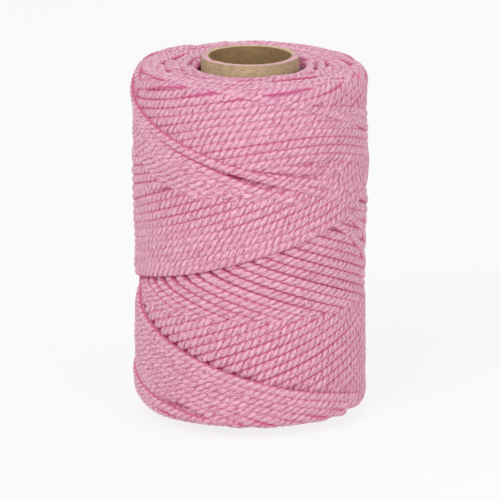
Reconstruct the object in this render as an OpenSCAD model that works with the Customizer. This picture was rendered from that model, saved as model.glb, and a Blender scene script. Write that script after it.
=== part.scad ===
// Spool of three-strand twine: a length of laid cord, cross-wound on a paper tube.
// Millimetres. +Z is up, along the tube; the origin is the centre of the tube's lower end.

/* [Tube] */
// Length of the paper tube
tube_len = 134; // [124:1:150]
// Bore of the paper tube, which a spindle goes through
bore_d = 30; // [26:0.5:34]
// Thickness of the smooth kraft plies: the liner inside and the wrap outside
kraft_t = 0.35; // [0.2:0.05:0.6]
// Thickness of each grey board ply between them
board_t = 0.53; // [0.4:0.01:0.7]
// Thickness of the glue between two plies
glue_t = 0.036; // [0.03:0.002:0.06]
// How far a strip of board climbs along the tube in one turn
strip_lead = 84; // [70:1:110]
// Gap at the spiral seam, where a strip of board meets its own next turn
seam_gap = 0.5; // [0.3:0.1:1]

/* [Winding] */
// How far the tube stands out of the winding at each end
end_stub = 3.5; // [2:0.5:8]
// Outer diameter of the hidden inner turns, under the outer layer
inner_d = 75.4; // [66:0.1:80]
// Rounding of the inner turns' outer edges
shoulder_r = 5; // [3:0.5:8]
// Width of the funnel between the tube and the lip of an end face
lip_gap = 2; // [1:0.25:4]
// Depth of that funnel, from the end face to where the turns touch the tube
funnel_depth = 6; // [4:0.5:10]
// Rounding of the lip
lip_r = 1.4; // [0.8:0.1:2]

/* [Cord] */
// Diameter of the laid cord
cord_d = 3.2; // [2.6:0.1:3.4]
// Gap between neighbouring turns of the outer layer
side_gap = 0.7; // [0.7:0.05:1]
// Gap between an upward turn and the downward turn that crosses over it
cross_gap = 0.85; // [0.85:0.05:1.2]
// Gap between the inner turns and the turns that lie on them
seat_gap = 0.2; // [0.2:0.05:0.6]

/* [Lay of the outer layer] */
// Whole turns that the cord makes on its way up and down again
turns_per_cycle = 3; // [2:1:4]
// Whole strokes of the outer layer, up and down, counted singly
strokes = 15; // [5:2:15]
// Distance from an end face to the corner at which the cord turns back
turn_back = 3.5; // [3.5:0.5:8]
// Angle about the tube at which the cord turns back at the top for the last time
last_turn_angle = 145; // [0:5:355]

/* [Hidden] */

bore_r = bore_d / 2;
board_step = board_t + glue_t;                   // from one board ply to the next
BOARD_PLIES = 4;
boards_r = bore_r + kraft_t + glue_t;            // inside of the first board ply
wrap_r = boards_r + BOARD_PLIES * board_step;    // inside of the wrap ply
tube_r = wrap_r + kraft_t;
strip_h = strip_lead - seam_gap;                 // height of a strip of board, along the tube
STRIP_SIDES = 64;                                // flats in one turn of a strip
STRIP_TIP = 1;                                   // height of a strip's cut tip

fit_gap = 0.05;                                  // between the tube and the turns on it
winding_bottom = end_stub;
winding_top = tube_len - end_stub;
inner_r = inner_d / 2;

cord_r = cord_d / 2;
up_r = inner_r + seat_gap + cord_r;              // middle of the turns that run upward
down_r = up_r + cord_d + cross_gap;              // middle of the turns that run downward
low_z = winding_bottom + turn_back;
high_z = winding_top - turn_back;
travel = high_z - low_z;

// The turns lie side by side because every cycle ends a little further round than whole turns
up_girth = 2 * PI * up_r;
lay_angle = atan(2 * travel / (turns_per_cycle * up_girth));
creep = (cord_d + side_gap) / sin(lay_angle);    // that little, along the girth
stroke_turns = (turns_per_cycle + creep / up_girth) / 2;
stroke_len = stroke_turns * up_girth;            // along the girth
climb = travel / stroke_len;                     // rise for each millimetre of girth
bend_len = 0.3 * creep;                          // half of the curve in which the cord turns back

// Both ends of the layer are tucked in under the downward strokes, in the middle of a patch
// where these cross an upward one. Such patches lie half a turn apart along a stroke.
patch_len = creep * (strokes + 1) / 4;
start_share = (up_girth + patch_len / 2) / stroke_len;
end_share = (up_girth - patch_len) / 2 / stroke_len;
loops = stroke_turns * (strokes + 1 - start_share + end_share);

// Rings of the cord's mesh
RINGS_PER_TURN = 24;
CORD_SIDES = 6;
straight_rings = ceil((stroke_len - 2 * bend_len) / up_girth * RINGS_PER_TURN);
ROUND = 128;

// A closed solid through rings, each a list of as many points in the same order
module solid_through(rings) {
    sides = len(rings[0]);
    last = len(rings) - 1;
    skin = [
        for (i = [0:last - 1])
            for (k = [0:sides - 1])
                let(
                    a = i * sides + k,
                    b = i * sides + (k + 1) % sides,
                    c = a + sides,
                    d = b + sides
                )
                each [[a, c, b], [b, c, d]]
    ];
    first_end = [for (k = [1:sides - 2]) [0, k, k + 1]];
    far = last * sides;
    last_end = [for (k = [1:sides - 2]) [far, far + k + 1, far + k]];
    polyhedron(points = [for (r = rings) each r], faces = concat(first_end, skin, last_end), convexity = 10);
}

// ---------------------------------------------------------------- tube

module kraft_ply(inner) {
    color("burlywood")
        difference() {
            cylinder(h = tube_len, r = inner + kraft_t, $fn = ROUND);
            translate([0, 0, -1]) cylinder(h = tube_len + 2, r = inner, $fn = ROUND);
        }
}

module liner_ply() {
    kraft_ply(bore_r);
}

module wrap_ply() {
    kraft_ply(wrap_r);
}

// A strip of board wound up the tube in a spiral, edge to edge, and trimmed at the tube's ends.
// Each ply's seam lies a part of a turn round from that of the ply under it.
module board_ply(number) {
    inner = boards_r + (number - 1) * board_step;
    outer = inner + board_t;
    rise = strip_lead / STRIP_SIDES;
    first = ceil(STRIP_TIP / rise);
    last = floor((tube_len - STRIP_TIP + strip_h) / rise);
    rings = [
        for (i = [first:last])
            let(
                a = 360 * i / STRIP_SIDES,
                low = max(0, i * rise - strip_h),
                high = min(tube_len, i * rise)
            )
            [for (corner = [[outer, low], [inner, low], [inner, high], [outer, high]])
                [corner[0] * cos(a), corner[0] * sin(a), corner[1]]]
    ];
    color("tan") rotate([0, 0, 360 * (number - 1) / BOARD_PLIES]) solid_through(rings);
}

// ---------------------------------------------------------------- hidden inner turns

// Upper half of the section through the inner turns, from their middle height
module winding_section_half() {
    half_h = (winding_top - winding_bottom) / 2;
    touch_r = tube_r + fit_gap;
    mouth_r = touch_r + lip_gap;
    difference() {
        union() {
            translate([touch_r, 0]) square([inner_r - touch_r, half_h - shoulder_r]);
            translate([touch_r, 0]) square([inner_r - shoulder_r - touch_r, half_h]);
            translate([inner_r - shoulder_r, half_h - shoulder_r]) circle(r = shoulder_r, $fn = ROUND);
        }
        // the funnel, with a rounded lip
        difference() {
            polygon([
                [touch_r - 1, half_h + 1],
                [mouth_r + lip_r, half_h + 1],
                [mouth_r + lip_r, half_h - lip_r],
                [mouth_r, half_h - lip_r],
                [touch_r, half_h - funnel_depth],
                [touch_r - 1, half_h - funnel_depth]
            ]);
            translate([mouth_r + lip_r, half_h - lip_r]) circle(r = lip_r, $fn = ROUND);
        }
    }
}

module inner_winding() {
    color("palevioletred")
        translate([0, 0, (winding_top + winding_bottom) / 2])
            rotate_extrude($fn = ROUND) {
                winding_section_half();
                mirror([0, 1]) winding_section_half();
            }
}

// ---------------------------------------------------------------- outer layer

function unit(v) = v / norm(v);

// Eases from 0 to 1 as x goes from 0 to 1
function ease(x) = let(c = max(0, min(1, x))) c * c * (3 - 2 * c);

// How far a point of a stroke is from that stroke's nearer end, along the girth
function end_distance(share) = stroke_len * min(share, 1 - share);

// Height of the cord: strokes run straight, and turn back in a short curve
function cord_z(stroke, share) =
    let(
        up = stroke % 2 == 0,
        rise = travel * (up ? share : 1 - share),
        cut = max(0, bend_len - end_distance(share)),
        inward = (share < 0.5) == up ? 1 : -1
    )
    low_z + rise + inward * climb * cut * cut / (2 * bend_len);

// Distance of the cord from the axis: upward strokes lie low and downward ones over them
function cord_radius(stroke, share) =
    let(
        up = stroke % 2 == 0,
        settled = 0.5 + 0.5 * ease(end_distance(share) / bend_len)
    )
    up_r + (down_r - up_r) * (up ? 1 - settled : settled);

function cord_angle(stroke, share) = last_turn_angle + 360 * stroke_turns * (stroke + share - strokes);

function cord_point(stroke, share) =
    let(a = cord_angle(stroke, share), r = cord_radius(stroke, share))
    [r * cos(a), r * sin(a), cord_z(stroke, share)];

// Shares of a stroke at which the cord has a ring; the next stroke has the last one
bend_share = bend_len / stroke_len;
stroke_shares = concat(
    [0],
    [for (i = [0:straight_rings]) bend_share + (1 - 2 * bend_share) * i / straight_rings]
);

// Whether the layer has this point: it starts part way up and ends part way up
function in_layer(stroke, share) =
    (stroke > 0 || share > start_share) && (stroke <= strokes || share < end_share);

// The layer's middle line
cord_path = [
    for (stroke = [0:strokes + 1])
        for (share = stroke_shares)
            if (in_layer(stroke, share)) cord_point(stroke, share)
];

// A ring of the cord's section at point i of a path
function cord_ring(points, i) =
    let(
        forward = unit(points[min(i + 1, len(points) - 1)] - points[max(i - 1, 0)]),
        radial = [points[i].x, points[i].y, 0],
        outward = unit(radial - (radial * forward) * forward),
        sideways = cross(forward, outward)
    )
    [for (k = [0:CORD_SIDES - 1])
        let(a = 360 * (k + 0.5) / CORD_SIDES)
        points[i] + cord_r * (cos(a) * outward + sin(a) * sideways)];

module outer_winding() {
    color("hotpink") solid_through([for (i = [0:len(cord_path) - 1]) cord_ring(cord_path, i)]);
    echo(str("outer layer: ", loops, " loops, ", len(cord_path), " rings, ",
        path_length(cord_path) / 1000, " m long, least gap to itself ",
        least_distance(cord_path) - cord_d, " mm"));
}

// ---------------------------------------------------------------- measures of the outer layer

function path_length(points) =
    let(steps = [for (i = [1:len(points) - 1]) norm(points[i] - points[i - 1])])
    steps * [for (s = steps) 1];

function clamp01(x) = max(0, min(1, x));

// Least distance between the stretches p to p + u and q to q + v
function stretch_distance(p, u, q, v) =
    let(
        w = p - q,
        a = u * u, b = u * v, c = v * v, d = u * w, e = v * w,
        det = a * c - b * b,
        s = det < 1e-9 ? 0.5 : clamp01((b * e - c * d) / det),
        t = clamp01((b * s + e) / c),
        s_again = clamp01((b * t - d) / a)
    )
    norm(w + s_again * u - t * v);

// Least distance of the middle line to itself, leaving out stretches next to each other
function least_distance(points) =
    let(near = 2 * cord_d + up_girth / RINGS_PER_TURN)
    min([
        for (i = [0:len(points) - 2])
            for (j = [i + 4:1:len(points) - 2])
                if (abs(points[i].z - points[j].z) < near && norm(points[i] - points[j]) < near)
                    stretch_distance(
                        points[i], points[i + 1] - points[i],
                        points[j], points[j + 1] - points[j]
                    )
    ]);

// ---------------------------------------------------------------- nodes

liner_ply();
board_ply(1);  // board_ply_1
board_ply(2);  // board_ply_2
board_ply(3);  // board_ply_3
board_ply(4);  // board_ply_4
wrap_ply();
inner_winding();
outer_winding();
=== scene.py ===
"""Twine spool: laid twine wound crosswise on a paperboard tube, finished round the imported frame."""

import math

import bpy
import numpy as np
from bpy.props import FloatProperty, FloatVectorProperty, IntProperty, PointerProperty
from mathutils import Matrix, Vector


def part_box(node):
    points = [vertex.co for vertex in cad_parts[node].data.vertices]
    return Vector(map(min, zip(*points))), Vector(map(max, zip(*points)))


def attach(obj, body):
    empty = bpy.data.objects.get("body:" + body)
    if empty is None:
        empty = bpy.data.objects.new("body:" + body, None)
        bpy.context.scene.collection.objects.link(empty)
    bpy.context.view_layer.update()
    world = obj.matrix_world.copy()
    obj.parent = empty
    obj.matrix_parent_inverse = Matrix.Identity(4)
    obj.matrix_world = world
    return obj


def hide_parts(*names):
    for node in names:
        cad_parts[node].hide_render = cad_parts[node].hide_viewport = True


bl_info = {
    "name": "Twine Spool",
    "version": (1, 0, 0),
    "blender": (4, 5, 0),
    "location": "3D View > Sidebar > Twine Spool",
    "description": "Winds laid twine on a paperboard tube and finishes both",
    "category": "Object",
}

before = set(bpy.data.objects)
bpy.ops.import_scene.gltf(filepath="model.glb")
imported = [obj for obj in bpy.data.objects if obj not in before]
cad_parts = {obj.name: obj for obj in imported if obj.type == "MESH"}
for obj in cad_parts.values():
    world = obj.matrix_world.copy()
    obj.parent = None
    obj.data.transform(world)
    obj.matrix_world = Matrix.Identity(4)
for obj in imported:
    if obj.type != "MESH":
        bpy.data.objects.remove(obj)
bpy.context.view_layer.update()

TURN = 2.0 * math.pi  # radians
PLIES = ("board_ply_1", "board_ply_2", "board_ply_3", "board_ply_4")
WHITE = (1.0, 1.0, 1.0, 1.0)
tube_low, tube_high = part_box("wrap_ply")
TUBE_RADIUS = 0.5 * (tube_high.x - tube_low.x)
TUBE_LENGTH = tube_high.z - tube_low.z
wound = {}  # the finished package, kept for the core under it


# ---------------------------------------------------------------- settings


class TwineSettings(bpy.types.PropertyGroup):
    """Size, lay and colours of the twine, among them its painted highlight, shade and glow."""

    diameter: FloatProperty(
        name="Cord diameter",
        description="Diameter of the circle round the three strands",
        default=0.0032,
        unit="LENGTH",
    )
    lay: FloatProperty(
        name="Lay length",
        description="Length of cord in which a strand goes once round it",
        default=0.0083,
        unit="LENGTH",
    )
    strand_offset: FloatProperty(
        name="Strand offset",
        description="How far a strand's centre is from the cord's, as a share of the cord's radius",
        default=0.27,
        subtype="FACTOR",
        min=0.0,
        max=0.5,
    )
    flatness: FloatProperty(
        name="Flatness",
        description="Height of the pressed cord, as a share of its diameter",
        default=0.82,
        subtype="FACTOR",
        min=0.5,
        max=1.0,
    )
    spread: FloatProperty(
        name="Spread",
        description="Width of the pressed cord, as a share of its diameter",
        default=1.1,
        min=1.0,
        max=1.5,
    )
    sides: IntProperty(
        name="Sides",
        description="Flats round the cord, a multiple of six",
        default=18,
        min=6,
    )
    # painted highlight and shade: the colours below run from darkest in the strand grooves to palest
    # on the strand crowns, by height on the strand
    crown: FloatVectorProperty(
        name="Crown colour",
        description="Colour on top of the strands",
        default=(0.575, 0.212, 0.323),
        subtype="COLOR",
        size=3,
    )
    flank: FloatVectorProperty(
        name="Flank colour",
        description="Colour down the sides of the strands",
        default=(0.46, 0.128, 0.23),
        subtype="COLOR",
        size=3,
    )
    # painted shade: the darker rose of the strand grooves, of the gaps between cords and of the core
    # seen between them
    painted_groove_shade: FloatVectorProperty(
        name="Groove colour",
        description="Colour between the strands and in the cords behind them",
        default=(0.34, 0.05, 0.135),
        subtype="COLOR",
        size=3,
    )
    # painted highlight: the palest flecks on the strand crowns
    painted_glint: FloatVectorProperty(
        name="Glint colour",
        description="Colour of the palest yarns",
        default=(0.75, 0.44, 0.55),
        subtype="COLOR",
        size=3,
    )
    # painted glow: emission in the twine's own colour, standing in for light that seeps through the
    # nylon
    glow: FloatProperty(
        name="Glow",
        description="Light that seeps through the nylon, as a share of its colour",
        default=0.14,
        subtype="FACTOR",
        min=0.0,
        max=1.0,
    )


class WindingSettings(bpy.types.PropertyGroup):
    """How the twine is laid on the tube."""

    end_stub: FloatProperty(
        name="Bare tube",
        description="Length of tube that stands out of the winding at each end",
        default=0.0035,
        unit="LENGTH",
    )
    radius: FloatProperty(
        name="Outer radius",
        description="Mean radius of the wound surface",
        default=0.0430,
        unit="LENGTH",
    )
    cycles: IntProperty(
        name="Cycles",
        description="Times that the cord goes up and down",
        default=48,
        min=4,
    )
    turns_per_cycle: FloatProperty(
        name="Turns in a cycle",
        description="Turns of the tube while the cord goes up and down once",
        default=3.0356,
    )
    last_turn_angle: FloatProperty(
        name="Lower turn back",
        description="Place of the last turn back at the lower end, from the front to the right",
        default=math.radians(80.0),
        subtype="ANGLE",
    )
    press: FloatProperty(
        name="Press",
        description="How far a cord sinks into the cords that it crosses",
        default=0.0008,
        unit="LENGTH",
    )
    relief: FloatProperty(
        name="Relief kept",
        description="Share of the broad humps and hollows that the pressure leaves",
        default=0.1,
        subtype="FACTOR",
        min=0.0,
        max=1.0,
    )
    seed: IntProperty(
        name="Seed",
        description="Seed of the small unevenness of the laying",
        default=5,
    )


class TubeSettings(bpy.types.PropertyGroup):
    """Colours and grain of the paperboard tube."""

    wrap: FloatVectorProperty(
        name="Wrap colour",
        description="Colour of the kraft paper outside",
        default=(0.50, 0.40, 0.235),
        subtype="COLOR",
        size=3,
    )
    bore: FloatVectorProperty(
        name="Liner colour",
        description="Colour of the kraft paper in the bore",
        default=(0.34, 0.215, 0.105),
        subtype="COLOR",
        size=3,
    )
    board: FloatVectorProperty(
        name="Board colour",
        description="Colour of the cut board at the rim",
        default=(0.66, 0.50, 0.30),
        subtype="COLOR",
        size=3,
    )
    rim_tint: FloatVectorProperty(
        name="Rim tint",
        description="Pink of the twine on the front of the upper rim",
        default=(0.80, 0.42, 0.56),
        subtype="COLOR",
        size=3,
    )


class StageSettings(bpy.types.PropertyGroup):
    """Floor, lamps and camera."""

    distance: FloatProperty(
        name="Camera distance",
        description="From the camera to the point that it looks at",
        default=1.68175,
        unit="LENGTH",
    )
    elevation: FloatProperty(
        name="Camera elevation",
        description="Height of the camera above the horizontal",
        default=math.radians(15.212),
        subtype="ANGLE",
    )
    target_height: FloatProperty(
        name="Target height",
        description="Height of the point that the camera looks at",
        default=0.06011,
        unit="LENGTH",
    )
    lens: FloatProperty(
        name="Lens",
        description="Focal length on a 36 mm wide sensor",
        default=326.85,
        subtype="DISTANCE_CAMERA",
    )
    floor: FloatVectorProperty(
        name="Floor colour",
        description="Colour of the studio floor",
        default=(0.86, 0.86, 0.86),
        subtype="COLOR",
        size=3,
    )


# ---------------------------------------------------------------- node trees


class Wiring:
    """Adds nodes to a tree, sets their inputs and joins them."""

    def __init__(self, tree):
        self.tree = tree

    def add(self, kind, inputs=None, **settings):
        """A new node with its settings made and its inputs fed."""
        node = self.tree.nodes.new(kind)
        for name, value in settings.items():
            setattr(node, name, value)
        for socket, value in (inputs or {}).items():
            self.feed(node.inputs[socket], value)
        return node

    def feed(self, socket, value):
        """Joins an input to a socket or a node, or sets it."""
        if isinstance(value, bpy.types.NodeSocket):
            self.tree.links.new(value, socket)
        elif isinstance(value, bpy.types.Node):
            self.tree.links.new(value.outputs[0], socket)
        else:
            socket.default_value = value

    def math(self, operation, *values):
        inputs = dict(enumerate(values))
        return self.add("ShaderNodeMath", inputs, operation=operation).outputs[0]

    def plus(self, first, second):
        return self.math("ADD", first, second)

    def times(self, first, second):
        return self.math("MULTIPLY", first, second)

    def vector(self, operation, first, second):
        """One step of vector arithmetic, in which SCALE takes a number second."""
        inputs = {0: first, "Scale" if operation == "SCALE" else 1: second}
        node = self.add("ShaderNodeVectorMath", inputs, operation=operation)
        return node.outputs["Value" if operation == "DOT_PRODUCT" else "Vector"]

    def joined(self, *parts):
        return self.add("ShaderNodeCombineXYZ", dict(enumerate(parts))).outputs[0]

    def split(self, place):
        """Its x, y and z."""
        return self.add("ShaderNodeSeparateXYZ", {0: place}).outputs

    def span(self, value, start, stop, low=0.0, high=1.0):
        """The value, carried from one range onto another and held at its ends."""
        inputs = {0: value, 1: start, 2: stop, 3: low, 4: high}
        return self.add("ShaderNodeMapRange", inputs).outputs[0]

    def noise(self, place, scale, detail, roughness=0.5):
        inputs = {"Vector": place, "Scale": scale, "Detail": detail, "Roughness": roughness}
        return self.add("ShaderNodeTexNoise", inputs).outputs[0]

    def bump(self, height, strength, distance):
        inputs = {"Height": height, "Strength": strength, "Distance": distance}
        return self.add("ShaderNodeBump", inputs)

    def ramp(self, value, stops):
        node = self.add("ShaderNodeValToRGB", {0: value})
        bar = node.color_ramp.elements
        while len(bar) < len(stops):
            bar.new(0.5)
        for element, (place, colour) in zip(bar, stops):
            element.position = place
            element.color = rgba(colour)
        return node.outputs[0]

    def mix(self, factor, first, second, blend="MIX"):
        node = self.add("ShaderNodeMix", data_type="RGBA", blend_type=blend)
        self.feed(node.inputs[0], factor)
        self.feed(node.inputs[6], first)
        self.feed(node.inputs[7], second)
        return node.outputs[2]

    def coat(self, inputs):
        """Ends a material with a Principled shader."""
        skin = self.add("ShaderNodeBsdfPrincipled", inputs)
        self.add("ShaderNodeOutputMaterial", {"Surface": skin})

    def direct_rays(self):
        """1 where a ray sees the backdrop itself, 0 where it only gathers light from it."""
        path = self.add("ShaderNodeLightPath").outputs
        direct = self.math("MAXIMUM", path["Is Camera Ray"], path["Is Glossy Ray"])
        return self.math("MAXIMUM", direct, path["Is Transmission Ray"])


def rgba(colour):
    return (*colour[:3], 1.0)


def shade(colour, by):
    """A colour made darker or lighter."""
    return tuple(min(1.0, by * part) for part in colour)


def new_material(name):
    """An empty material and the wiring of its tree."""
    finish = bpy.data.materials.new(name)
    finish.use_nodes = True
    finish.node_tree.nodes.clear()
    return finish, Wiring(finish.node_tree)


def grown(piece, tree, values):
    """The plain mesh that a tree makes of a piece, in its place and under its name."""
    changer = piece.modifiers.new(tree.name, "NODES")
    changer.node_group = tree
    for item in tree.interface.items_tree:
        if item.item_type == "SOCKET" and item.name in values:
            changer[item.identifier] = values[item.name]
    bpy.context.view_layer.update()
    seen = piece.evaluated_get(bpy.context.evaluated_depsgraph_get())
    mesh = bpy.data.meshes.new_from_object(seen)
    before = piece.data
    piece.modifiers.remove(changer)
    piece.data = mesh
    mesh.name = piece.name
    bpy.data.meshes.remove(before)


def new_piece(name, mesh):
    piece = bpy.data.objects.new(name, mesh)
    bpy.context.scene.collection.objects.link(piece)
    return piece


# ---------------------------------------------------------------- package
#
# Lengths are in millimetres here, and one sample of a stroke of cord is about one degree. Angles
# run from the front towards the right, in degrees where they are called angle or place and in
# radians where they are called turn. Heights past the ends of the winding lead on over its round
# edges, as if the surface were unrolled.

MILLIMETRES = 1000.0  # in a metre
METRES = 0.001  # in a millimetre

COLUMNS = 720  # cells of the height map round the package
CELL_HEIGHT = 0.4
OVER_END = 7.0  # length of the map past each end
EDGE_ZONE = 12.0  # length at each end that doesn't count for the radius of the package

FEELERS = np.linspace(-0.8, 0.8, 5)  # lines under a cord, as shares of its radius
BACK_LINES = np.linspace(-0.98, 0.98, 15)  # lines over its back
SIGHT_LINES = np.linspace(-0.9, 0.9, 7)
FOLLOW = 0.35  # how far a cord follows each bump; it bridges the rest
BRIDGE = 12  # samples over which it bridges
GRIP = 0.02  # a cord that lies lower by no more than this still takes the cell

PRESS_REACH = 7.0  # size of the humps that count as broad
SETTLE_REACH = 6.0
SETTLE_SHARE = 0.88  # share of the fine humps that settling takes away
CARRY = 26.0  # buried samples that go along with the next sample in sight
CARRY_FADE = 8.0
SHAPE = (  # height over the tube's lower end, and rise over the mean radius
    (3.5, 0.5),
    (20.0, 0.5),
    (45.0, 0.1),
    (60.0, 0.1),
    (80.0, 0.7),
    (98.0, 0.9),
    (112.0, 0.5),
    (130.5, 0.3),
)
DENT_DEPTH = 1.6  # the hollow at the left, under the wide band
DENT_ANGLE = 270.0
DENT_WIDTH = 32.0
DENT_HEIGHT = 48.0
DENT_LENGTH = 5.0

EDGE_BEND = 2.0  # radius in which the middle of a cord bends over the edge
EDGE_ROUND = 3.6  # radius of the edge itself
EDGE_DEPTH = 1.45  # how deep that middle lies below the mean radius


def soft_line(values, reach):
    """The values, smoothed over so many samples."""
    weights = np.exp(-0.5 * (np.arange(-3 * reach, 3 * reach + 1) / reach) ** 2)
    weights /= weights.sum()
    return np.convolve(np.pad(values, 3 * reach, mode="edge"), weights, "valid")


def soft_step(share):
    """From 0 to 1 with level ends."""
    share = np.clip(share, 0.0, 1.0)
    return share * share * (3.0 - 2.0 * share)


def read_off(knots, places):
    """The second values of a line of pairs, at places between the first ones."""
    return np.interp(places, [k[0] for k in knots], [k[1] for k in knots])


def taut_line(arc, need, radius):
    """The lowest path of a taut cord that stays over every need, on a round body."""
    flat = need - arc * arc / (2.0 * radius)
    held = []
    for i in range(len(arc)):
        while len(held) >= 2:
            a = held[-2]
            b = held[-1]
            if (flat[b] - flat[a]) * (arc[i] - arc[a]) > (flat[i] - flat[a]) * (arc[b] - arc[a]):
                break
            held.pop()
        held.append(i)
    return np.interp(arc, arc[held], flat[held]) + arc * arc / (2.0 * radius)


def run_along(points):
    """The length along a line of points, from its start to each of them."""
    steps = np.linalg.norm(np.diff(points, axis=0), axis=1)
    return np.concatenate(([0.0], np.cumsum(steps)))


class Package:
    """A height map of the growing winding, over the angle and the unrolled height."""

    def __init__(self, twine, winding):
        self.radius = 0.5 * MILLIMETRES * twine.diameter
        self.tube = MILLIMETRES * TUBE_RADIUS
        self.bottom = MILLIMETRES * winding.end_stub
        self.top = MILLIMETRES * (TUBE_LENGTH - winding.end_stub)
        self.press_in = MILLIMETRES * winding.press
        self.wanted = MILLIMETRES * winding.radius
        self.keep = winding.relief
        self.low = self.bottom - OVER_END
        self.rows = int((self.top + OVER_END - self.low) / CELL_HEIGHT) + 1
        self.heights = self.low + CELL_HEIGHT * np.arange(self.rows)
        self.reach = np.full((self.rows, COLUMNS), self.tube)
        self.owner = np.full((self.rows, COLUMNS), -1)
        self.strokes = []
        self.level = self.tube + self.radius

    def cell(self, turn, height):
        """Row and column of the map at a turn and a height."""
        row = np.rint((height - self.low) / CELL_HEIGHT).astype(int)
        column = np.rint(turn / TURN * COLUMNS).astype(int)
        return np.clip(row, 0, self.rows - 1), np.mod(column, COLUMNS)

    def beside(self, turn, height, round_way, up_way, off):
        """The cells on a line beside the middle of a cord."""
        return self.cell(turn - up_way * off / self.level, height + round_way * off)

    def blurred(self, field, reach):
        across = np.fft.fftfreq(COLUMNS) * reach * COLUMNS / (TURN * self.level)
        along = np.fft.fftfreq(self.rows) * reach / CELL_HEIGHT
        gain = np.exp(-2.0 * (math.pi * across[None, :]) ** 2)
        gain = gain * np.exp(-2.0 * (math.pi * along[:, None]) ** 2)
        return np.real(np.fft.ifft2(np.fft.fft2(field) * gain))

    def lay(self, turn, height, name, under=0.0):
        """Lays one stroke of cord, pulled taut over what is there, and raises the map."""
        turn_step = np.gradient(turn)
        height_step = np.gradient(height)
        length = np.hypot(turn_step * self.level, height_step)
        round_way = turn_step * self.level / length
        up_way = height_step / length
        need = np.zeros(len(turn))
        for off in FEELERS * self.radius:
            cells = self.beside(turn, height, round_way, up_way, off)
            rise = math.sqrt(self.radius**2 - off * off) - self.press_in
            need = np.maximum(need, self.reach[cells] + rise)
        need = FOLLOW * need + (1.0 - FOLLOW) * soft_line(need, BRIDGE)
        out = soft_line(taut_line(np.cumsum(length), need, self.level), 5) - under
        stroke = {"name": name, "turn": turn, "height": height, "out": out}
        self.strokes.append({**stroke, "cells": self.cell(turn, height)})
        self.stamp(turn, height, out, round_way, up_way, length.max(), name)

    def stamp(self, turn, height, out, round_way, up_way, longest, name):
        """Raises the cells under a cord to its round back and marks them as its own."""
        reach = self.reach.ravel()
        owner = self.owner.ravel()
        parts = int(math.ceil(longest / (0.6 * CELL_HEIGHT)))
        whole = np.arange(len(turn))
        fine = np.linspace(0, len(turn) - 1, (len(turn) - 1) * parts + 1)
        turn, height, out, round_way, up_way = (
            np.interp(fine, whole, v) for v in (turn, height, out, round_way, up_way)
        )
        for off in BACK_LINES * self.radius:
            row, column = self.beside(turn, height, round_way, up_way, off)
            place = row * COLUMNS + column
            value = out + math.sqrt(self.radius**2 - off * off)
            order = np.argsort(value)
            place = place[order]
            value = value[order]
            over = value >= reach[place] - GRIP
            reach[place[over]] = value[over]
            owner[place[over]] = name

    def grow(self):
        """Notes the present radius of the package, away from its ends."""
        low = self.bottom + EDGE_ZONE
        high = self.top - EDGE_ZONE
        inner = self.reach[(self.heights > low) & (self.heights < high)]
        self.level = max(self.level, float(inner.mean()))

    def broad(self, reach):
        """The map without its fine detail, and how far each cell counts as wound."""
        mask = (self.owner >= 0).astype(float)
        share = self.blurred(mask, reach)
        broad = self.blurred(self.reach * mask, reach) / np.maximum(share, 1e-3)
        return broad, np.clip((share - 0.1) / 0.2, 0.0, 1.0)

    def move(self, change, fine=False):
        """Moves the map in or out, and each cord with what lies on it."""
        for stroke in self.strokes:
            cells = stroke["cells"]
            by = change[cells]
            own = np.flatnonzero(self.owner[cells] == stroke["name"])
            if fine and len(own):
                index = np.arange(len(by))
                place = np.searchsorted(own, index)
                after = own[np.minimum(place, len(own) - 1)]
                before = own[np.maximum(place - 1, 0)]
                far = np.minimum(np.abs(after - index), np.abs(index - before))
                carried = np.clip((CARRY - far) / CARRY_FADE, 0.0, 1.0)
                by = by + carried * (np.interp(index, own, by[own]) - by)
            thick = np.maximum(self.reach[cells] - self.radius - self.tube, 1.0)
            depth = np.minimum((stroke["out"] - self.tube) / thick, 1.0)
            out = stroke["out"] + soft_line(by * depth, 3)
            stroke["out"] = np.maximum(out, self.tube + self.radius)
        self.reach = np.maximum(self.reach + change, self.tube)

    def press(self):
        """The pull of the turns above evens the broad humps and hollows."""
        broad, count = self.broad(PRESS_REACH)
        wanted = (broad * count).sum() / count.sum()
        self.move((1.0 - self.keep) * (wanted - broad) * count)

    def settle(self):
        """Brings the finished surface to its shape, and each cord with it."""
        wanted = self.wanted + read_off(SHAPE, self.heights)[:, None]
        angle = np.linspace(0.0, 360.0, COLUMNS, False)
        aside = np.mod(angle - DENT_ANGLE + 180.0, 360.0) - 180.0
        dent = np.exp(-((aside / DENT_WIDTH) ** 2))[None, :]
        dent = dent * np.exp(-(((self.heights - DENT_HEIGHT) / DENT_LENGTH) ** 2))[:, None]
        broad, count = self.broad(SETTLE_REACH)
        fine = SETTLE_SHARE * (self.reach - broad)
        self.move((wanted - DENT_DEPTH * dent - broad - fine) * count, True)

    def bent(self, turn, height, out):
        """Points in space; heights past the ends lead over the round edge onto the end face."""
        middle = 0.5 * (self.bottom + self.top)
        side = np.sign(height - middle)
        over = np.abs(height - middle) - (0.5 * (self.top - self.bottom) - self.radius - EDGE_BEND)
        angle = np.clip(over / EDGE_BEND, 0.0, 0.5 * math.pi)
        inward = np.maximum(over - 0.5 * math.pi * EDGE_BEND, 0.0)
        proud = np.clip(EDGE_BEND + out - (self.wanted - EDGE_DEPTH), 0.6, EDGE_BEND + 0.8)
        level = self.wanted - EDGE_DEPTH - EDGE_BEND
        radius = np.where(over > 0.0, level + proud * np.cos(angle) - inward, out)
        rise = self.top - self.radius - EDGE_BEND - middle + proud * np.sin(angle)
        z = np.where(over > 0.0, middle + side * rise, height)
        return np.stack((radius * np.sin(turn), -radius * np.cos(turn), z), 1)

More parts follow.
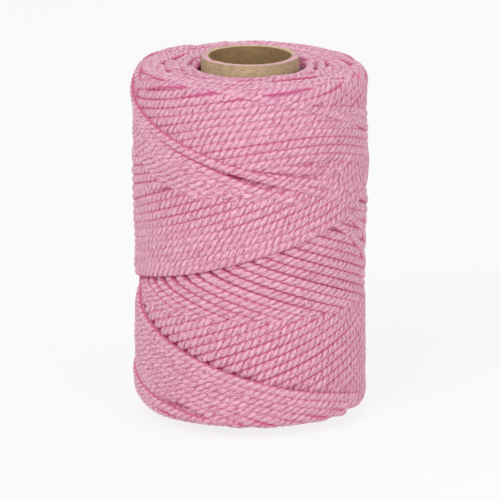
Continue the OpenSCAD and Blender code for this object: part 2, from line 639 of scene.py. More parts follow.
    def outward(self, points):
        """The direction that faces away from the winding at each point, round at its edges."""
        radius = np.hypot(points[:, 0], points[:, 1])
        over = np.clip(radius - (self.wanted - EDGE_ROUND), 0.0, None)
        up = np.clip(points[:, 2] - (self.top - EDGE_ROUND), 0.0, None)
        down = np.clip(points[:, 2] - (self.bottom + EDGE_ROUND), None, 0.0)
        along = np.maximum(over, 1e-3) / np.maximum(radius, 1e-3)
        facing = np.stack((points[:, 0] * along, points[:, 1] * along, up + down), 1)
        return facing / np.linalg.norm(facing, axis=1)[:, None]

    def showing(self, stroke):
        """Which samples of a stroke can be seen."""
        turn = stroke["turn"]
        height = stroke["height"]
        turn_step = np.gradient(turn) * self.level
        height_step = np.gradient(height)
        length = np.hypot(turn_step, height_step)
        seen = np.zeros(len(turn), bool)
        for off in SIGHT_LINES * self.radius:
            cells = self.cell(
                turn - height_step / length * off / self.level,
                height + turn_step / length * off,
            )
            seen |= self.owner[cells] == stroke["name"]
        return seen


# ---------------------------------------------------------------- course of the cord
#
# A cycle leads the cord from the lower end to the upper one and back. Its age counts the cycles
# wound after it. Lines are pairs of an angle and a height over the lower end of the winding.

CYCLE_START = -280.0
CYCLE_SAMPLES = 1094
CYCLE_MIDDLE = 300.0  # from here the corner at the cycle's end counts
CYCLE_TOP = slice(300, 800)  # samples among which the upper corner lies
WHOLE_TURNS = 3.0  # of a cycle
DRAWN_CORNER = 80.0  # place of the last lower corner for which the lines below are drawn
END_MARGIN = 0.8  # how far the outermost turns reach over the round edge
STAGGERED = 3.0  # the cord turns back at so many heights in turn
STAGGER = 1.7  # from one of them to the next
UNEVENNESS = 0.08
UNEVEN_KNOTS = 15
CYCLE_FOOT = (
    (-280.0, 0.0),
    (-268.0, 0.01),
    (-240.0, 0.065),
    (-200.0, 0.155),
    (-150.0, 0.265),
    (-110.0, 0.345),
    (-85.0, 0.395),
)
CYCLE_TAIL = ((760.0, 0.05), (790.0, 0.015), (813.0, 0.0))
YOUNG_AGE = 5.0
YOUNG = (  # angle, and height as a share of the whole travel
    *CYCLE_FOOT,
    *((-60.0, 0.425), (-40.0, 0.45), (-20.0, 0.48), (0.0, 0.52), (20.0, 0.55), (40.0, 0.585)),
    *((60.0, 0.626), (80.0, 0.67), (110.0, 0.72), (150.0, 0.79), (200.0, 0.86), (260.0, 0.925)),
    *((320.0, 0.975), (370.0, 0.998), (385.0, 1.0), (400.0, 0.985), (448.0, 0.87), (480.0, 0.79)),
    *((520.0, 0.68), (560.0, 0.57), (600.0, 0.455), (640.0, 0.33), (680.0, 0.215), (720.0, 0.10)),
    *CYCLE_TAIL,
)
OLD_AGE = 11.0
OLD = (
    *CYCLE_FOOT,
    *((-40.0, 0.45), (0.0, 0.52), (40.0, 0.585), (80.0, 0.67), (110.0, 0.73), (150.0, 0.80)),
    *((200.0, 0.90), (225.0, 0.96), (240.0, 0.99), (250.0, 1.0), (285.0, 1.0), (297.0, 0.98)),
    *((360.0, 0.855), (448.0, 0.658), (520.0, 0.50), (589.0, 0.345), (640.0, 0.25)),
    *((680.0, 0.175), (720.0, 0.105)),
    *CYCLE_TAIL,
)

ARCH_SHARES = ((97.0, 1.0), (110.0, 0.95), (121.0, 0.72), (132.0, 0.55))  # steepness by top
ARCH_RISE = ((-90, 21.0), (-46, 11.5), (-26, 6.2), (-9, 3.0), (9, 0.8), (26, 0.0))
ARCH_FALL = ((40, 0.3), (57, 2.8), (88, 9.4))  # angle, and depth below the top
OPEN_TOP = 120.0  # arches with a higher top leave over the upper edge
EDGE_LINE = 131.0
LOOP_AGE = 2  # the cycle that makes the turns under the upper end
LOOP_TOPS = (132.2, 129.3, 126.5, 123.7, 121.0, 118.3, 115.6, 112.9)
LOOP_EXIT = 116  # samples from the last of these turns to the fall


def arch(top, whole=360):
    """A turn back under the upper end: up from the left, level at its top, down to the right."""
    share = float(read_off(ARCH_SHARES, top))
    rise = [(whole + angle, top - share * low) for angle, low in ARCH_RISE]
    if top > OPEN_TOP:
        return tuple(rise + [(whole + 50, top + 2.0), (whole + 80, EDGE_LINE)])
    return tuple(rise + [(whole + angle, top - low) for angle, low in ARCH_FALL])


FAN = (  # the falling turns at the left, the lowest first
    ((290, 97.0), (300, 94.3), (312, 90.8)),
    ((290, 99.8), (320, 91.0), (332, 87.6)),
    ((290, 102.5), (318, 94.2), (340, 88.5)),
    ((290, 105.0), (330, 93.2), (350, 88.0)),
    ((290, 107.5), (320, 99.0), (343, 92.4), (360, 88.0)),
    ((290, 110.0), (320, 101.5), (342, 95.8), (357, 91.6), (380, 86.0)),
    ((290, 112.0), (320, 103.8), (342, 98.8), (360, 96.0), (371, 94.6), (399, 90.6)),
)
FAN_TOP = ((165, 132.5), (200, 131.0))
FAN_FALL = ((240, 13.5), (270, 5.6))  # angle, and height over the first point of each line
FAN_LEAD = 26.0  # degrees that a falling turn runs on, buried, after its tip
FAN_DIVE = 3.6  # depth to which it dives there

LATE_TURNS = (  # the upper ends of the last cycles, the youngest first
    (
        *((255, 131.5), (300, 129.8), (330, 127.2), (365, 124.2)),
        *((385, 120.6), (410, 114.2), (448, 103.8)),
    ),
    arch(110.2),
    arch(107.0),
    arch(103.8),
    arch(100.7),
    ((290, 114.0), (320, 106.0), (342, 101.5), (360, 98.8), (380, 97.3), (400, 94.9), (423, 91.6)),
    *FAN[:1:-1],
)
EASE_IN = 190.0  # degrees before such a line over which a stroke is led onto it
EASE_OUT = 150.0
LOW_RUN = (  # the upper edge of the lowest band
    *((560, 69.0), (650, 36.0), (660, 32.8), (680, 27.0), (700, 21.8)),
    *((720, 17.2), (740, 13.0), (770, 8.0), (800, 3.0), (830, -1.5)),
)
BAND_TURNS = 7  # the youngest cycles, which make that band
BAND_STEP = 2.85  # from one turn of that band to the next
BAND_LOWEST = -2.5
LAST_TURN = (  # up behind, over the upper edge and down across the front
    *((80, 84.7), (110, 93.0), (150, 104.5), (200, 118.0), (240, 127.5), (270, 131.0)),
    *((570, 131.4), (595, 127.5), (612, 122.6), (630, 118.0), (650, 112.9), (660, 110.4)),
    *((680, 105.2), (700, 100.2), (720, 96.0), (740, 91.7), (760, 85.9), (780, 79.7)),
    *((800, 74.9), (860, 58.0), (912, 42.0)),
)


def cycle_share(angle, age):
    """Height over one cycle, 0 at the lower corner and 1 at the upper one."""
    share = min(1.0, max(0.0, (age - YOUNG_AGE) / (OLD_AGE - YOUNG_AGE)))
    return soft_line((1.0 - share) * read_off(YOUNG, angle) + share * read_off(OLD, angle), 9)


def late_line(age):
    """The line of a late cycle; the youngest ones lead on into the lowest band."""
    line = LATE_TURNS[age - 1]
    if age <= BAND_TURNS:
        for angle, height in LOW_RUN[min(age - 1, 1) :]:
            line += ((angle, max(BAND_LOWEST, height - BAND_STEP * (age - 1))),)
    return line


def redirected(place, height, line, bottom):
    """A stroke led along a line, and eased in and out of it."""
    other = bottom + read_off(line, place)
    ease = np.minimum((place - line[0][0]) / EASE_IN, (line[-1][0] - place) / EASE_OUT)
    return soft_line(height + (other - height) * soft_step(ease + 1.0), 5)


def with_loops(place, height, bottom):
    """A cycle with the turns under the upper end put in, and the sample at which it falls."""
    knots = []
    for number, top in enumerate(LOOP_TOPS):
        whole = 360 * (number + 1)
        knots += arch(top, whole)
        if top > OPEN_TOP:
            knots += [(whole + 180, EDGE_LINE), (whole + 225, EDGE_LINE - 5.0)]
        else:
            knots += [(whole + 110, top - 13.0), (whole + 180, top - 18.5)]
    first = int(np.searchsorted(place, knots[0][0]))
    extra = 360 * len(LOOP_TOPS)
    more = place[first] + np.arange(float(extra))
    turns = bottom + read_off(knots, more)
    height = soft_line(np.concatenate((height[:first], turns, height[first:])), 7)
    place = np.concatenate((place[:first], more, place[first:] + extra))
    return place, height, first + extra + LOOP_EXIT


def lay_fan(package, name):
    """Lays the falling turns at the left, whose lower ends run under the rising ones."""
    for number, line in enumerate(FAN):
        tip, low = line[-1]
        fall = [(angle, line[0][1] + above) for angle, above in FAN_FALL]
        knots = (*FAN_TOP, *fall, *line, (tip + 40, low - 10.0))
        place = np.arange(float(FAN_TOP[0][0]), tip + FAN_LEAD)
        height = soft_line(package.bottom + read_off(knots, place), 6)
        under = FAN_DIVE * soft_step((place - tip + 2.0) / 10.0)
        package.lay(np.radians(place), height, name + number, under)


def wind(twine, winding):
    """Lays every stroke in the order in which the machine lays it."""
    package = Package(twine, winding)
    chance = np.random.default_rng(winding.seed)
    count = winding.cycles
    late = len(LATE_TURNS)
    early = STAGGER * np.mod(np.arange(count, -1, -1), STAGGERED)
    shift = 360.0 * (winding.turns_per_cycle - WHOLE_TURNS)
    corner = math.degrees(winding.last_turn_angle)
    cycle_end = CYCLE_START + 360.0 * winding.turns_per_cycle
    margin = package.radius - END_MARGIN
    low = package.bottom + margin
    high = package.top - margin
    for cycle in range(count):
        age = count - 1 - cycle
        angle = np.linspace(CYCLE_START, cycle_end, CYCLE_SAMPLES)
        place = angle - shift * (age if age <= late else age - late) + corner - DRAWN_CORNER
        if age == late + 1:
            more = np.arange(1.0, 360.0 - shift * late)
            angle = np.concatenate((angle, cycle_end + more))
            place = np.concatenate((place, place[-1] + more))
        height = low + (high - low) * cycle_share(angle, age)
        after = early[min(cycle + 2, count)]
        lowest = low + np.where(angle < CYCLE_MIDDLE, early[cycle + 1], after)
        height = soft_line(np.clip(height, lowest, high - early[cycle + 1]), 6)
        if 1 <= age <= late:
            height = redirected(place, height, late_line(age), package.bottom)
        drift = chance.normal(0.0, 1.0, UNEVEN_KNOTS)
        knots = np.linspace(CYCLE_START, cycle_end, UNEVEN_KNOTS)
        height += UNEVENNESS * np.interp(angle, knots, drift)
        top = CYCLE_TOP.start + int(np.argmax(height[CYCLE_TOP]))
        if age == LOOP_AGE:
            place, height, top = with_loops(place, height, package.bottom)
        if age == 0:
            break
        turn = np.radians(place)
        package.lay(turn[: top + 1], height[: top + 1], 2 * cycle)
        package.grow()
        package.lay(turn[top:], height[top:], 2 * cycle + 1)
        package.grow()
        if cycle % 2 == 1:
            package.press()
    lay_fan(package, 2 * count - 1)
    top = int(np.searchsorted(place, LAST_TURN[0][0]))
    ending = np.arange(place[top] + 1.0, LAST_TURN[-1][0], 1.0)
    height = np.concatenate((height[:top], package.bottom + read_off(LAST_TURN, ending)))
    turn = np.radians(np.concatenate((place[:top], ending)))
    package.lay(turn, soft_line(height, 7), 2 * count - 2)
    package.settle()
    return package


# ---------------------------------------------------------------- cord in sight

ARCS_MOST = 60
ARC_START = 1.3  # from the tube to the first arc, and up to that much again
ARC_LIMIT = 4.6  # from the last arc to the outer radius
ARC_SPANS = (220, 420)  # cells
ARC_STARTS = (0.25, 0.75)  # shares of an arc that lie before the lowest place on the front
ARC_CHOICE = 0.6  # chance added to the front when that place is looked for
ARC_HALF = 0.86  # half of the width that an arc takes, as a share of its radius
ARC_DIVE = 44.0  # cells at each end over which an arc dives
ARC_DEPTH = 5.5  # depth of that dive
ARC_HELD = 0.55  # share of that dive outside which it holds the next arc off
ARC_SINK = 0.7  # how far the arcs lie into the end of the winding
FUNNEL_START = 4.6  # width of the shallow funnel round the tube
FUNNEL_WIDTH = 3.0
FUNNEL_SLOPE = 0.3

JOINT_REACH = 24  # samples on both sides of a joint of two strokes that are evened
BURIED_MOST = 13  # buried samples kept at each end of a stretch in sight
BURIED_LEVEL = 4.0  # the first of them that stay where they are
BURIED_SINK = 0.012  # growth of the others' depth, with the square of their number
JUMP = 4.0  # a longer step than this parts the cord
JUMP_REACH = 16
JUMP_SINK = 0.011
SHORTEST = 30  # samples
SAMPLE_STEP = 0.75


def face_drop(package, radius):
    """How far an end face lies below the end of the winding: the round edge and the funnel."""
    past = radius + package.radius - package.wanted + EDGE_ROUND
    over = np.clip(past / EDGE_ROUND, 0.0, 0.98)
    deep = np.clip(package.tube + FUNNEL_START - radius, 0.0, FUNNEL_WIDTH)
    return EDGE_ROUND * (1.0 - np.sqrt(1.0 - over * over)) + FUNNEL_SLOPE * deep


def end_arcs(package, upper, chance):
    """Arcs of cord side by side on an end face, each taut round those laid before it."""
    sign = 1.0 if upper else -1.0
    end = package.top if upper else package.bottom
    wide = np.sin(TURN * np.arange(COLUMNS) / COLUMNS) ** 2
    front = package.tube + ARC_START + ARC_START * wide
    half = ARC_HALF * package.radius
    arcs = []
    while front.min() < package.wanted - ARC_LIMIT and len(arcs) < ARCS_MOST:
        span = int(chance.uniform(*ARC_SPANS))
        lowest = int(np.argmin(front + chance.uniform(0.0, ARC_CHOICE, COLUMNS)))
        start = lowest - int(chance.uniform(*ARC_STARTS) * span)
        cells = np.arange(start, start + span)
        turn = TURN * cells / COLUMNS
        need = front[np.mod(cells, COLUMNS)] + half
        mean = float(need.mean())
        out = soft_line(taut_line(mean * (turn - turn[0]), need, mean), 9)
        wave = np.interp(np.arange(span), np.linspace(0, span, 9), chance.normal(0.0, 1.0, 9))
        wave = soft_line(wave, 12)
        edge = np.minimum(np.arange(span), np.arange(span)[::-1]) / ARC_DIVE
        dive = np.clip(1.0 - edge, 0.0, 1.0)
        past = np.maximum(out - (package.wanted - 3.3), 0.0)
        low = face_drop(package, out) + 0.25 * wave + ARC_DEPTH * dive**2 + 1.5 * past
        height = end - sign * (package.radius - ARC_SINK + low)
        out = out - past + 0.15 * wave
        held = edge > ARC_HELD
        laid = np.mod(cells[held], COLUMNS)
        front[laid] = np.maximum(front[laid], out[held] + half)
        arcs.append((turn, out, height))
    return arcs


def whole_cord(package):
    """Points of the whole cord in one line, with its length, its strokes and what shows of it."""
    strokes = package.strokes
    parts = [package.bent(s["turn"], s["height"], s["out"])[1:] for s in strokes]
    names = [np.full(len(p), s["name"]) for p, s in zip(parts, strokes)]
    seen = np.concatenate([package.showing(s)[1:] for s in strokes])
    points = np.concatenate(parts)
    for joint in np.cumsum([len(p) for p in parts])[:-1]:
        near = slice(max(0, joint - JOINT_REACH), joint + JOINT_REACH)
        radius = np.hypot(points[near, 0], points[near, 1])
        away = np.abs(np.arange(len(radius)) - JOINT_REACH)
        fade = np.clip(1.5 - away / (0.5 * JOINT_REACH), 0.0, 1.0)
        ratio = 1.0 + fade * (soft_line(radius, 5) / radius - 1.0)
        points[near, :2] *= ratio[:, None]
    return points, run_along(points), np.concatenate(names), seen


def stretch(package, points, run, name, sunk=None):
    """One length of cord with points at even steps, in metres."""
    count = max(4, int(round((run[-1] - run[0]) / SAMPLE_STEP)) + 1)
    even = np.linspace(run[0], run[-1], count)
    points = np.stack([np.interp(even, run, points[:, i]) for i in range(3)], 1)
    facing = package.outward(points)
    if sunk is not None:
        points = points - facing * np.interp(even, run, sunk)[:, None]
    return METRES * points, METRES * even, facing, name


def stretches(package, winding):
    """The stretches of cord in sight, on the side and on the end faces."""
    points, run, names, seen = whole_cord(package)
    count = len(seen)
    shown = np.flatnonzero(seen)
    index = np.arange(count)
    place = np.searchsorted(shown, index)
    before = index - shown[np.clip(place - 1, 0, len(shown) - 1)]
    after = shown[np.clip(place, 0, len(shown) - 1)] - index
    far = np.minimum(np.where(before < 0, count, before), np.where(after < 0, count, after))
    far[seen] = 0
    kept = far <= BURIED_MOST
    sunk = BURIED_SINK * np.maximum(far - BURIED_LEVEL, 0.0) ** 2
    jumps = np.flatnonzero(np.diff(run) > JUMP) + 1
    kept[jumps] = False
    for jump in (*jumps, count):
        near = index[(index >= jump - JUMP_REACH) & (index < jump + JUMP_REACH)]
        sunk[near] += JUMP_SINK * (JUMP_REACH - np.abs(near + 0.5 - jump)) ** 2
    edges = np.flatnonzero(np.diff(np.concatenate(([0], kept.astype(int), [0]))))
    found = []
    for start, stop in zip(edges[::2], edges[1::2]):
        if stop - start >= SHORTEST:
            part = slice(start, stop)
            name = int(names[start])
            found.append(stretch(package, points[part], run[part], name, sunk[part]))
    chance = np.random.default_rng(winding.seed + 1)
    name = 2 * winding.cycles + len(FAN)
    for upper in (True, False):
        for turn, out, height in end_arcs(package, upper, chance):
            points = np.stack((out * np.sin(turn), -out * np.cos(turn), height), 1)
            run = chance.uniform(0.0, 50.0) + run_along(points)
            found.append(stretch(package, points, run, name))
            name += 1
    return found


def path_mesh(name, found, tones):
    """A mesh of open chains of edges, with the cord's length, tone and facing on each point."""
    mesh = bpy.data.meshes.new(name)
    points, run, facing = (np.concatenate([f[i] for f in found]) for i in range(3))
    tone = np.concatenate([np.full(len(f[0]), tones[f[3]]) for f in found])
    ends = np.cumsum([len(f[0]) for f in found])
    index = np.setdiff1d(np.arange(len(points)), ends - 1)
    edges = np.stack((index, index + 1), 1)
    mesh.vertices.add(len(points))
    mesh.vertices.foreach_set("co", points.ravel().astype(np.float32))
    mesh.edges.add(len(edges))
    mesh.edges.foreach_set("vertices", edges.ravel().astype(np.int32))
    for key, kind, field, values in (
        ("run", "FLOAT", "value", run),
        ("tone", "FLOAT", "value", tone),
        ("facing", "FLOAT_VECTOR", "vector", facing),
    ):
        layer = mesh.attributes.new(key, kind, "POINT")
        layer.data.foreach_set(field, values.ravel().astype(np.float32))
    mesh.update()
    return mesh


def stored(w, geometry, name, value, kind):
    """The geometry with a value kept on its points under that name."""
    inputs = {"Geometry": geometry, "Name": name, "Value": value}
    return w.add("GeometryNodeStoreNamedAttribute", inputs, data_type=kind, domain="POINT")


def fetched(w, name, kind):
    """What was kept on the points under that name."""
    node = w.add("GeometryNodeInputNamedAttribute", {"Name": name}, data_type=kind)
    return node.outputs[0]


def laid_cord_tree():
    """Geometry Nodes: three strands laid round every chain of edges, pressed a little flat."""
    tree = bpy.data.node_groups.new("Laid Cord", "GeometryNodeTree")
    tree.interface.new_socket("Geometry", in_out="OUTPUT", socket_type="NodeSocketGeometry")
    for name, kind, value in (
        ("Geometry", "NodeSocketGeometry", None),
        ("Cord Diameter", "NodeSocketFloat", 0.0032),
        ("Lay Length", "NodeSocketFloat", 0.0083),
        ("Strand Offset", "NodeSocketFloat", 0.27),
        ("Sides", "NodeSocketInt", 18),
        ("Flatness", "NodeSocketFloat", 0.82),
        ("Spread", "NodeSocketFloat", 1.10),
        ("Finish", "NodeSocketMaterial", None),
    ):
        socket = tree.interface.new_socket(name, in_out="INPUT", socket_type=kind)
        if value is not None:
            socket.default_value = value
    w = Wiring(tree)
    given = w.add("NodeGroupInput").outputs
    offset = given["Strand Offset"]

    # the line of the cord, turned along its length by the lay
    twist = w.times(w.math("DIVIDE", fetched(w, "run", "FLOAT"), given["Lay Length"]), -TURN)
    curve = w.add("GeometryNodeMeshToCurve", {0: given["Geometry"]})
    curve = w.add("GeometryNodeSetCurveTilt", {"Curve": curve, "Tilt": twist})
    position = w.add("GeometryNodeInputPosition")
    curve = stored(w, curve, "middle", position, "FLOAT_VECTOR")

    # the outline of three round strands that touch
    ring = w.add("GeometryNodeCurvePrimitiveCircle", {"Resolution": given["Sides"]}, mode="RADIUS")
    share = w.math("DIVIDE", w.add("GeometryNodeInputIndex"), given["Sides"])
    around = w.times(share, TURN)
    local = w.math("WRAP", around, TURN / 6.0, -TURN / 6.0)
    strand = w.math("SUBTRACT", 1.0, offset)
    near = w.times(offset, w.math("COSINE", local))
    aside = w.times(offset, w.math("SINE", local))
    left = w.math("SUBTRACT", w.times(strand, strand), w.times(aside, aside))
    out = w.plus(near, w.math("SQRT", left))
    radius = w.times(w.times(out, given["Cord Diameter"]), 0.5)
    cosine = w.math("COSINE", around)
    sine = w.math("SINE", around)
    place = w.joined(w.times(cosine, radius), w.times(sine, radius))
    ring = w.add("GeometryNodeSetPosition", {"Geometry": ring, "Position": place})
    ring = stored(w, ring, "around", w.joined(cosine, sine), "FLOAT_VECTOR")
    ring = stored(w, ring, "crown", out, "FLOAT")

    # the swept cord, pressed towards the winding and spread beside it
    sweep = {"Curve": curve, "Profile Curve": ring, "Fill Caps": True}
    solid = w.add("GeometryNodeCurveToMesh", sweep)
    middle = fetched(w, "middle", "FLOAT_VECTOR")
    facing = fetched(w, "facing", "FLOAT_VECTOR")
    arm = w.vector("SUBTRACT", w.add("GeometryNodeInputPosition"), middle)
    rise = w.vector("DOT_PRODUCT", arm, facing)
    proud = w.math("DIVIDE", rise, w.times(given["Cord Diameter"], 0.5))
    solid = stored(w, solid, "proud", proud, "FLOAT")
    upward = w.vector("SCALE", facing, rise)
    wide = w.vector("SCALE", w.vector("SUBTRACT", arm, upward), given["Spread"])
    flat = w.vector("SCALE", upward, given["Flatness"])
    place = w.vector("ADD", middle, w.vector("ADD", wide, flat))
    solid = w.add("GeometryNodeSetPosition", {"Geometry": solid, "Position": place})
    solid = w.add("GeometryNodeSetShadeSmooth", {"Geometry": solid, "Shade Smooth": True})
    solid = w.add("GeometryNodeRealizeInstances", {0: solid})
    solid = w.add("GeometryNodeSetMaterial", {"Geometry": solid, "Material": given["Finish"]})
    w.add("NodeGroupOutput", {0: solid})
    return tree


CORE_GAP = 0.35  # between the tube and the core
CORE_DEPTH = 3.0  # below the mean radius
CORE_END_DEPTH = 3.4
CORE_SIDES = 96


def core_mesh(package):
    """A closed turned body under the seen cords, so that nothing shows through between them."""
    inner = package.tube + CORE_GAP
    outer = package.wanted - CORE_DEPTH
    low = package.bottom + CORE_END_DEPTH
    high = package.top - CORE_END_DEPTH
    half = (
        (inner, 5.0),
        (inner + 2.2, 4.0),
        (inner + 3.4, 0.0),
        (outer - 5.0, 0.0),
        (outer - 1.6, 1.4),
        (outer, 5.0),
    )
    profile = [(radius, low + up) for radius, up in half]
    profile += [(radius, high - up) for radius, up in reversed(half)]
    points = []
    for i in range(CORE_SIDES):
        a = TURN * i / CORE_SIDES
        for radius, height in profile:
            radius = METRES * radius
            points.append((radius * math.cos(a), radius * math.sin(a), METRES * height))
    count = len(profile)
    faces = []
    for i in range(CORE_SIDES):
        j = (i + 1) % CORE_SIDES
        for k in range(count):
            n = (k + 1) % count
            faces.append((i * count + k, j * count + k, j * count + n, i * count + n))
    mesh = bpy.data.meshes.new("wound_core")
    mesh.from_pydata(points, [], faces)
    mesh.validate()
    mesh.update()
    return mesh


# ---------------------------------------------------------------- materials


def object_place(w):
    return w.add("ShaderNodeTexCoord").outputs["Object"]


def from_axis(w, place):
    """The distance of a place from the tube's axis."""
    x, y = w.split(place)[:2]
    return w.math("SQRT", w.plus(w.times(x, x), w.times(y, y)))


def twine_finish(twine):
    """Nylon twine: painted highlight on the strand crowns, painted shade in the strand grooves and
    between the cords, pale yarn flecks along the strands and a painted glow.
    """
    finish, w = new_material("laid_twine")
    kept = {}
    for name in ("around", "run", "crown", "tone", "proud"):
        kept[name] = w.add("ShaderNodeAttribute", attribute_name=name).outputs
    x, y = w.split(kept["around"]["Vector"])[:2]
    proud = kept["proud"]["Fac"]
    along = w.times(kept["run"]["Fac"], MILLIMETRES)
    fibre = w.noise(w.joined(x, y, w.times(along, 0.16)), 3.2, 4.0, 0.7)
    grain = w.noise(w.joined(x, y, w.times(along, 0.9)), 5.0, 2.0)
    flecks = w.plus(w.times(fibre, 0.5), w.times(grain, 0.5))
    nine_yarns = w.times(w.math("ARCTAN2", y, x), 9.0)
    yarn = w.math("COSINE", w.plus(nine_yarns, w.times(fibre, 5.0)))
    lifted = w.times(w.math("SUBTRACT", flecks, 0.5), 2.4)
    lifted = w.plus(lifted, w.times(yarn, 0.06))
    level = w.plus(kept["crown"]["Fac"], lifted)
    level = w.plus(level, w.times(kept["tone"]["Fac"], 0.02))
    # painted highlight and shade across each strand, by its height, broken up by the yarn flecks
    colour = w.ramp(
        level,
        (
            (0.76, twine.painted_groove_shade),
            (0.83, twine.flank),
            (0.90, twine.crown),
            (1.0, twine.painted_glint),
        ),
    )
    # painted shade between cords: the flanks that face a neighbour take the rose of the strand
    # grooves, and a painted glow lifts them a little
    deep = w.times(w.span(proud, 0.75, 0.3), w.span(proud, -0.25, 0.1, 0.2))
    colour = w.mix(deep, colour, rgba(twine.painted_groove_shade))
    # painted glow: the emission lifts the twine all over, and the shaded gaps between cords more
    w.coat(
        {
            "Base Color": colour,
            "Roughness": 0.55,
            "Specular IOR Level": 0.35,
            "Sheen Weight": 0.25,
            "Sheen Roughness": 0.5,
            "Sheen Tint": (1.0, 0.86, 0.92, 1.0),
            "Emission Color": colour,
            "Emission Strength": w.plus(w.times(deep, 0.55), twine.glow),
            "Normal": w.bump(flecks, 0.7, 0.0003),
        },
    )
    return finish


def core_finish(colour, glow):
    """The buried turns: a dull rose in the painted shade of the grooves, with a painted shadow that
    goes nearly black where the core meets the tube, and a painted glow away from it.
    """
    finish, w = new_material("buried_twine")
    place = object_place(w)
    grain = w.noise(place, 900.0, 2.0)
    tint = w.ramp(grain, ((0.3, shade(colour, 0.7)), (0.7, colour)))
    # painted shadow: nearly black in the gap round the tube; painted glow only away from it
    light = w.span(from_axis(w, place), 0.0205, 0.0235, 0.12)
    tint = w.mix(light, (0.02, 0.02, 0.02, 1.0), tint)
    w.coat(
        {
            "Base Color": tint,
            "Roughness": 0.85,
            "Emission Color": tint,
            "Emission Strength": w.times(light, glow),
            "Normal": w.bump(grain, 0.4, 0.0003),
        },
    )
    return finish


def pulp_level(w, place, share):
    """Long pulp fibres over broad clouds of kraft paper."""
    long_place = w.add("ShaderNodeMapping", {"Vector": place, "Scale": (1.0, 1.0, 3.2)})
    pulp = w.noise(long_place, 520.0, 5.0, 0.65)
    cloud = w.noise(place, 130.0, 3.0, 0.6)
    return w.plus(w.times(pulp, share), w.times(cloud, 1.0 - share))


def paper_finish(name, colour):
    """Kraft paper: pulp fibres, clouds and small dark specks."""
    finish, w = new_material(name)
    place = object_place(w)
    level = pulp_level(w, place, 0.6)
    stops = ((0.34, 0.62), (0.47, 0.90), (0.56, 1.05), (0.68, 1.28))
    tint = w.ramp(level, [(at, shade(colour, by)) for at, by in stops])
    specks = w.add("ShaderNodeTexVoronoi", {"Vector": place, "Scale": 900.0})
    dark = w.ramp(specks, ((0.04, (0.45, 0.45, 0.45)), (0.16, WHITE)))
    w.coat(
        {
            "Base Color": w.mix(0.55, tint, dark, "MULTIPLY"),
            "Roughness": 0.82,
            "Specular IOR Level": 0.25,
            "Normal": w.bump(level, 0.5, 0.0002),
        },
    )
    return finish


def board_finish(tube):
    """Cut board: ragged pulp, with pink on the front of the upper rim."""
    finish, w = new_material("cut_board")
    place = object_place(w)
    y, z = w.split(place)[1:3]
    level = pulp_level(w, place, 0.65)
    plain, pink = (
        w.ramp(level, ((0.36, shade(colour, dark)), (0.5, colour), (0.66, shade(colour, light))))
        for colour, dark, light in ((tube.board, 0.70, 1.22), (tube.rim_tint, 0.80, 1.2))
    )
    front = w.span(y, 0.010, 0.002)
    upper = w.span(z, TUBE_LENGTH - 0.002, TUBE_LENGTH - 0.0005)
    outside_liner = w.span(from_axis(w, place), 0.0157, 0.0160)
    amount = w.times(w.times(w.times(front, upper), outside_liner), 0.9)
    w.coat(
        {
            "Base Color": w.mix(amount, plain, pink),
            "Roughness": 0.9,
            "Specular IOR Level": 0.2,
            "Normal": w.bump(level, 0.7, 0.0003),
        },
    )
    return finish


def dress_node(name, finish):
    """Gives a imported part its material."""
    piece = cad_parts[name]
    if not piece.material_slots:
        piece.data.materials.append(finish)
    for place in piece.material_slots:
        place.material = finish


# ---------------------------------------------------------------- operators

FLOOR_RADIUS = 4.0
FLOOR_LEVEL = -0.0002
FLOOR_SIDES = 96
FLOOR_GLOW = 0.82  # share of the floor's look that is plain white
LAMPS = (  # name, place, size and power
    ("key_lamp", (-0.55, -0.85, 0.85), 0.7, 7.6),
    ("fill_lamp", (0.8, -0.7, 0.45), 0.8, 3.6),
    ("back_lamp", (0.2, 0.9, 0.9), 0.8, 2.6),
)
MOST_TRIANGLES = 190000  # in one piece


